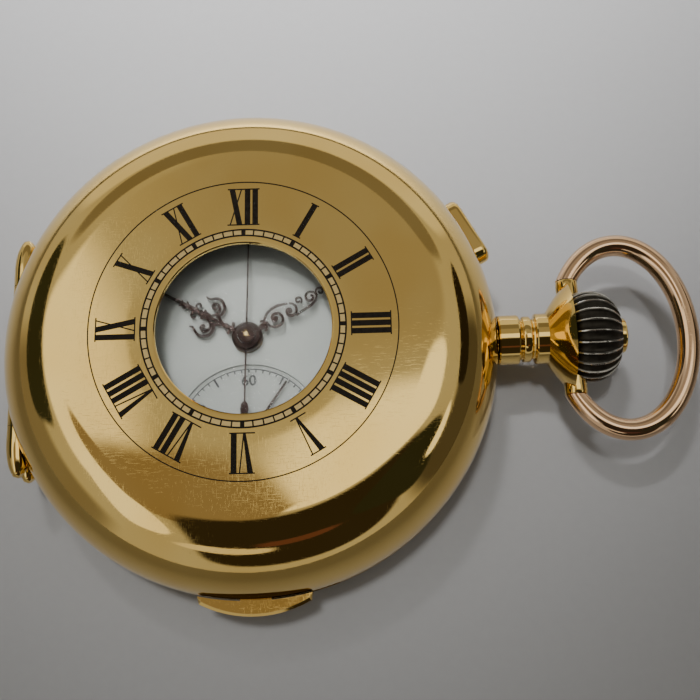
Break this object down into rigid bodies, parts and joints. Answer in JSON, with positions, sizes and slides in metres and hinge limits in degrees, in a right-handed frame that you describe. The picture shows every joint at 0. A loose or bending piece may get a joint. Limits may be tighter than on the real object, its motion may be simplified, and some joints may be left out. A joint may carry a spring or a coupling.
{
  "type": "pocket watch",
  "caption": "Half-hunter pocket watch with windowed hinged cover, repeater slide, side pusher, fluted crown, oval bow and a full going movement.",
  "frame": {"origin": "centre of the flat back rest face, on the dial axis", "axes": "+Z from the back to the dial side, +X to 3 o'clock, the pendant and the bow, +Y to 12 o'clock"},
  "size_m": [0.075, 0.0547, 0.0168],
  "materials": {
    "yellow_gold": "polished yellow gold, fine hairline scratches",
    "rose_gold": "polished rose gold",
    "gilt_movement": "frosted gilding",
    "gilt_hand": "darkened polished gilt",
    "oxidised_steel": "black oxidised, ridges worn bright",
    "polished_steel": "polished steel",
    "blued_steel": "heat-blued steel",
    "train_brass": "gilded brass",
    "white_enamel": "fired white enamel",
    "crystal_glass": "clear polished glass",
    "ruby": "polished synthetic ruby"
  },
  "bodies": {
    "case": {"case_middle": "yellow_gold", "pendant": "yellow_gold", "inner_bezel": "yellow_gold", "dial_crystal": "crystal_glass", "front_hinge_pin": "yellow_gold", "back_hinge_pin": "yellow_gold", "dust_cover_hinge_pin": "yellow_gold", "lid_catch_spring": "polished_steel", "lid_lift_spring": "polished_steel", "dial": "white_enamel", "seconds_subdial": "white_enamel", "setting_lever": "polished_steel", "mainplate": "gilt_movement", "case_screws": "polished_steel", "dial_screws": "polished_steel", "barrel_bridge": "gilt_movement", "train_bridge": "gilt_movement", "balance_cock": "gilt_movement", "pallet_bridge": "gilt_movement", "bridge_screws": "blued_steel", "jewels": "ruby", "hairspring": "blued_steel", "click": "polished_steel", "click_spring": "polished_steel", "gongs": "blued_steel", "gong_block": "polished_steel"},
    "front_cover": {"front_cover": "yellow_gold", "front_cover_glass": "crystal_glass"},
    "back_cover": {"back_cover": "yellow_gold"},
    "dust_cover": {"inner_dust_cover": "yellow_gold"},
    "bow": {"bow": "rose_gold"},
    "crown_and_stem": {"crown": "oxidised_steel", "winding_stem": "polished_steel", "winding_pinion": "polished_steel"},
    "crown_button": {"crown_button": "yellow_gold"},
    "crown_wheel": {"crown_wheel": "polished_steel"},
    "ratchet": {"ratchet_wheel": "polished_steel", "barrel_arbor": "polished_steel"},
    "pusher": {"chrono_pusher": "yellow_gold"},
    "operating_lever": {"operating_lever": "polished_steel"},
    "column_wheel": {"column_wheel": "polished_steel"},
    "chronograph": {"chronograph_wheel": "train_brass", "centre_seconds_hand": "blued_steel"},
    "minute_hand": {"cannon_pinion": "polished_steel", "minute_hand": "gilt_hand"},
    "minute_wheel": {"minute_wheel": "train_brass"},
    "hour_hand": {"hour_wheel": "train_brass", "hour_hand": "gilt_hand"},
    "fourth_wheel": {"fourth_wheel": "train_brass", "small_seconds_hand": "blued_steel"},
    "third_wheel": {"third_wheel": "train_brass"},
    "center_wheel": {"center_wheel": "train_brass"},
    "barrel": {"mainspring_barrel": "train_brass", "mainspring": "blued_steel"},
    "escape_wheel": {"escape_wheel": "train_brass"},
    "pallet_fork": {"pallet_fork": "polished_steel"},
    "balance": {"balance_wheel": "train_brass"},
    "repeater_slide": {"repeater_slide": "yellow_gold"},
    "hour_hammer": {"hour_hammer": "polished_steel"},
    "quarter_hammer": {"quarter_hammer": "polished_steel"}
  },
  "joints": [
    {"name": "front_cover_hinge", "type": "hinge", "parent": "case", "child": "front_cover", "pos_m": [-0.0248, 0, 0.0091], "axis": [0, -1, 0], "range_deg": [0, 90]},
    {"name": "back_cover_hinge", "type": "hinge", "parent": "case", "child": "back_cover", "pos_m": [-0.0248, 0, 0.0055], "axis": [0, 1, 0], "range_deg": [0, 90]},
    {"name": "dust_cover_hinge", "type": "hinge", "parent": "case", "child": "dust_cover", "pos_m": [-0.0229, 0, 0.0033], "axis": [0, 1, 0], "range_deg": [0, 81]},
    {"name": "bow_swing", "type": "hinge", "parent": "case", "child": "bow", "pos_m": [0.03465, 0, 0.0074], "axis": [0, 1, 0], "range_deg": [-100, 100]},
    {"name": "crown_turn", "type": "hinge", "parent": "case", "child": "crown_and_stem", "pos_m": [0.036, 0, 0.0074], "axis": [1, 0, 0], "continuous": true},
    {"name": "crown_button_press", "type": "slide", "parent": "crown_and_stem", "child": "crown_button", "axis": [-1, 0, 0], "range_m": [0, 0.0008], "stiffness_N_per_m": 400, "springref_m": -0.0004},
    {"name": "crown_wheel_turn", "type": "hinge", "parent": "case", "child": "crown_wheel", "pos_m": [0.0133, 0, 0.0074], "axis": [0, 0, 1], "continuous": true},
    {"name": "ratchet_turn", "type": "hinge", "parent": "case", "child": "ratchet", "pos_m": [0.00535, 0.00938, 0.0074], "axis": [0, 0, 1], "continuous": true},
    {"name": "pusher_press", "type": "slide", "parent": "case", "child": "pusher", "axis": [-0.8846, -0.4664, 0], "range_m": [0, 0.0005], "stiffness_N_per_m": 500, "springref_m": -0.0003},
    {"name": "operating_lever_rock", "type": "hinge", "parent": "case", "child": "operating_lever", "pos_m": [0.0196, 0.004, 0.0035], "axis": [0, 0, 1], "range_deg": [0, 6]},
    {"name": "column_wheel_turn", "type": "hinge", "parent": "case", "child": "column_wheel", "pos_m": [0.0164, 0.008, 0.0033], "axis": [0, 0, 1], "range_deg": [0, 21]},
    {"name": "chronograph_seconds", "type": "hinge", "parent": "case", "child": "chronograph", "pos_m": [0, 0, 0.0074], "axis": [0, 0, -1], "continuous": true},
    {"name": "minute_hand_turn", "type": "hinge", "parent": "case", "child": "minute_hand", "pos_m": [0, 0, 0.012], "axis": [0, 0, -1], "continuous": true},
    {"name": "minute_wheel_turn", "type": "hinge", "parent": "case", "child": "minute_wheel", "pos_m": [-0.00312, 0.0018, 0.0105], "axis": [0, 0, -1], "continuous": true},
    {"name": "hour_hand_turn", "type": "hinge", "parent": "case", "child": "hour_hand", "pos_m": [0, 0, 0.012], "axis": [0, 0, -1], "continuous": true},
    {"name": "seconds_turn", "type": "hinge", "parent": "case", "child": "fourth_wheel", "pos_m": [0, -0.0105, 0.0074], "axis": [0, 0, -1], "continuous": true},
    {"name": "third_wheel_turn", "type": "hinge", "parent": "case", "child": "third_wheel", "pos_m": [-0.00411, -0.00591, 0.0074], "axis": [0, 0, -1], "continuous": true},
    {"name": "center_wheel_turn", "type": "hinge", "parent": "case", "child": "center_wheel", "pos_m": [0, 0, 0.0074], "axis": [0, 0, -1], "continuous": true},
    {"name": "barrel_turn", "type": "hinge", "parent": "case", "child": "barrel", "pos_m": [0.00535, 0.00938, 0.0074], "axis": [0, 0, -1], "continuous": true},
    {"name": "escape_wheel_turn", "type": "hinge", "parent": "case", "child": "escape_wheel", "pos_m": [0.00445, -0.01175, 0.0074], "axis": [0, 0, -1], "continuous": true},
    {"name": "pallet_rock", "type": "hinge", "parent": "case", "child": "pallet_fork", "pos_m": [0.0085, -0.01031, 0.0068], "axis": [0, 0, 1], "range_deg": [-5, 5]},
    {"name": "balance_swing", "type": "hinge", "parent": "case", "child": "balance", "pos_m": [0.0122, -0.009, 0.0058], "axis": [0, 0, 1], "range_deg": [-120, 120], "stiffness_Nm_per_rad": 0.000001},
    {"name": "repeater_slide_travel", "type": "hinge", "parent": "case", "child": "repeater_slide", "pos_m": [0, 0, 0.0074], "axis": [0, 0, 1], "range_deg": [0, 15], "stiffness_Nm_per_rad": 0.05, "springref_deg": -8.59},
    {"name": "hour_hammer_strike", "type": "hinge", "parent": "case", "child": "hour_hammer", "pos_m": [-0.01813, -0.00159, 0.0062], "axis": [0, 0, -1], "range_deg": [0, 5.5], "stiffness_Nm_per_rad": 0.001, "springref_deg": -5.73},
    {"name": "quarter_hammer_strike", "type": "hinge", "parent": "case", "child": "quarter_hammer", "pos_m": [-0.01813, -0.00159, 0.007], "axis": [0, 0, 1], "range_deg": [0, 5.5], "stiffness_Nm_per_rad": 0.001, "springref_deg": -5.73}
  ],
  "couplings": [
    {"joint": "dust_cover_hinge", "follows": "back_cover_hinge", "ratio": 0.9},
    {"joint": "crown_wheel_turn", "follows": "crown_turn", "ratio": 0.5},
    {"joint": "ratchet_turn", "follows": "crown_turn", "ratio": -0.25926},
    {"joint": "operating_lever_rock", "follows": "pusher_press", "rad_per_m": 188.5},
    {"joint": "column_wheel_turn", "follows": "pusher_press", "rad_per_m": 698.13},
    {"joint": "minute_wheel_turn", "follows": "minute_hand_turn", "ratio": -0.33333},
    {"joint": "hour_hand_turn", "follows": "minute_hand_turn", "ratio": 0.083333},
    {"joint": "third_wheel_turn", "follows": "seconds_turn", "ratio": -0.13333},
    {"joint": "center_wheel_turn", "follows": "seconds_turn", "ratio": 0.016667},
    {"joint": "barrel_turn", "follows": "seconds_turn", "ratio": -0.0020833},
    {"joint": "escape_wheel_turn", "follows": "seconds_turn", "ratio": -10}
  ]
}
